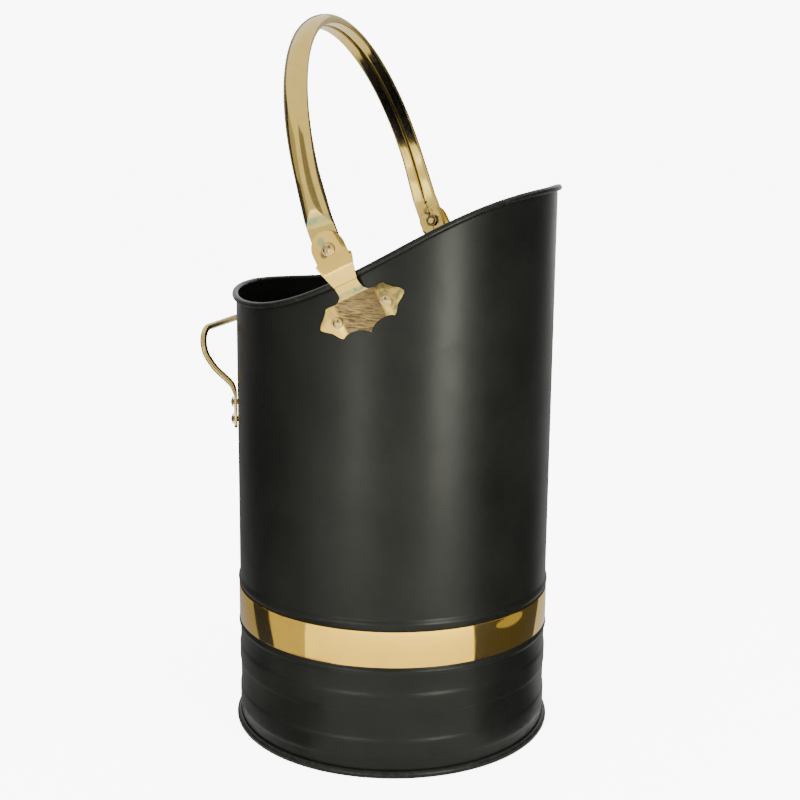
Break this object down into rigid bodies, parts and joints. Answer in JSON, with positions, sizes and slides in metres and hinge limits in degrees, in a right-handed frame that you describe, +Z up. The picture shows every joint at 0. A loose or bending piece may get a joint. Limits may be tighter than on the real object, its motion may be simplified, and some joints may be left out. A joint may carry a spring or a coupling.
{
  "type": "log carrier",
  "caption": "Tall round metal hod with a slanted mouth, a brass band, a swinging brass bail and a brass tipping handle, for carrying fuel to a fire.",
  "frame": {"origin": "middle of the flat underside, on the axis of the round body", "axes": "+Z up along the body's axis, +X towards the tall pouring lip, -X towards the tipping handle, and the bail swings about a line along Y"},
  "size_m": [0.3071, 0.301, 0.6329],
  "materials": {
    "black_paint": "satin black paint with a fine texture, on sheet steel",
    "brass": "polished brass, clear lacquered",
    "steel_wire": "plain drawn steel wire, hidden in the rolled rim"
  },
  "bodies": {
    "hod": {"body_shell": "black_paint", "base_plate": "black_paint", "rim_wire": "steel_wire", "brass_band": "brass", "bail_ear_front": "brass", "ear_rivet_front_low": "brass", "ear_rivet_front_tall": "brass", "pivot_screw_front": "brass", "pivot_nut_front": "brass", "bail_ear_back": "brass", "ear_rivet_back_low": "brass", "ear_rivet_back_tall": "brass", "pivot_screw_back": "brass", "pivot_nut_back": "brass", "tipping_handle": "brass", "handle_rivet_front_lower": "brass", "handle_rivet_front_upper": "brass", "handle_rivet_back_lower": "brass", "handle_rivet_back_upper": "brass"},
    "bail": {"bail": "brass"}
  },
  "joints": [
    {"name": "bail_swing", "type": "hinge", "parent": "hod", "child": "bail", "pos_m": [-0.0084, 0, 0.4466], "axis": [0, 1, 0], "range_deg": [-97, 96]}
  ]
}
